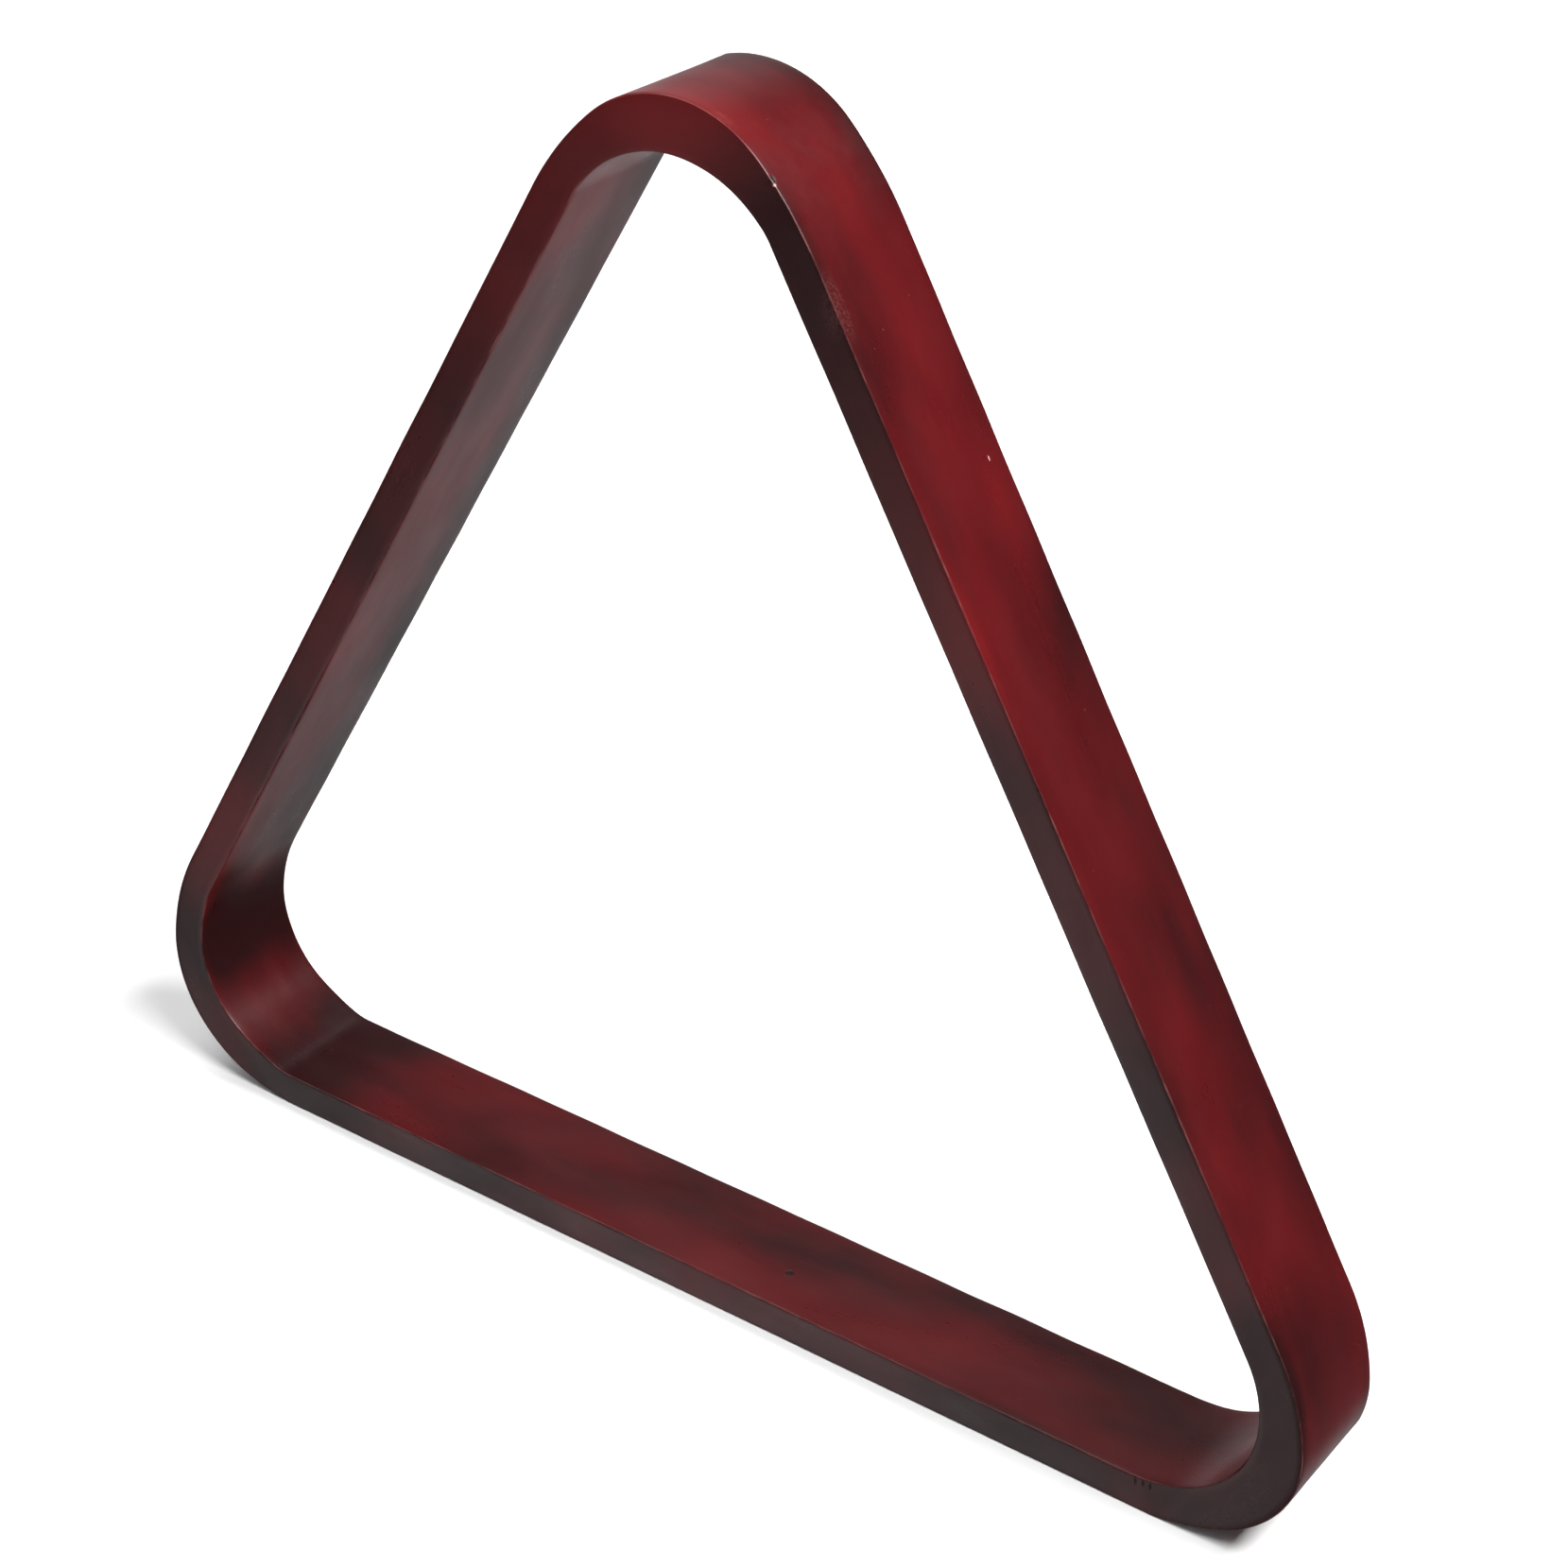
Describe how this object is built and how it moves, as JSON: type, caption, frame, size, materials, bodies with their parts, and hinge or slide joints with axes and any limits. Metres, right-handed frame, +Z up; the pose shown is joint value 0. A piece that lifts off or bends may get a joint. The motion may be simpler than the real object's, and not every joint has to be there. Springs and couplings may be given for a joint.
{
  "type": "triangle rack",
  "caption": "Wooden triangle rack with straight rails and rounded corner blocks, dowelled and glued, which gathers pool balls into a tight triangle",
  "frame": {"origin": "middle of the bottom rail's underside, at mid depth, where the rack stands on a flat surface", "axes": "+X along the bottom rail to the right seen from the front, +Y through the depth from the front face to the back face, +Z up to the rounded apex"},
  "size_m": [0.3096, 0.029, 0.2779],
  "materials": {
    "stained_wood": "dark red mahogany stain under satin lacquer",
    "dowel_wood": "bare beech"
  },
  "bodies": {
    "root": {"apex_corner": "stained_wood", "base_rail": "stained_wood", "dowel_base_rail_left_corner_back": "dowel_wood", "dowel_base_rail_left_corner_front": "dowel_wood", "dowel_base_rail_right_corner_back": "dowel_wood", "dowel_base_rail_right_corner_front": "dowel_wood", "dowel_left_rail_apex_corner_back": "dowel_wood", "dowel_left_rail_apex_corner_front": "dowel_wood", "dowel_left_rail_left_corner_back": "dowel_wood", "dowel_left_rail_left_corner_front": "dowel_wood", "dowel_right_rail_apex_corner_back": "dowel_wood", "dowel_right_rail_apex_corner_front": "dowel_wood", "dowel_right_rail_right_corner_back": "dowel_wood", "dowel_right_rail_right_corner_front": "dowel_wood", "left_corner": "stained_wood", "left_rail": "stained_wood", "right_corner": "stained_wood", "right_rail": "stained_wood"}
  },
  "joints": []
}
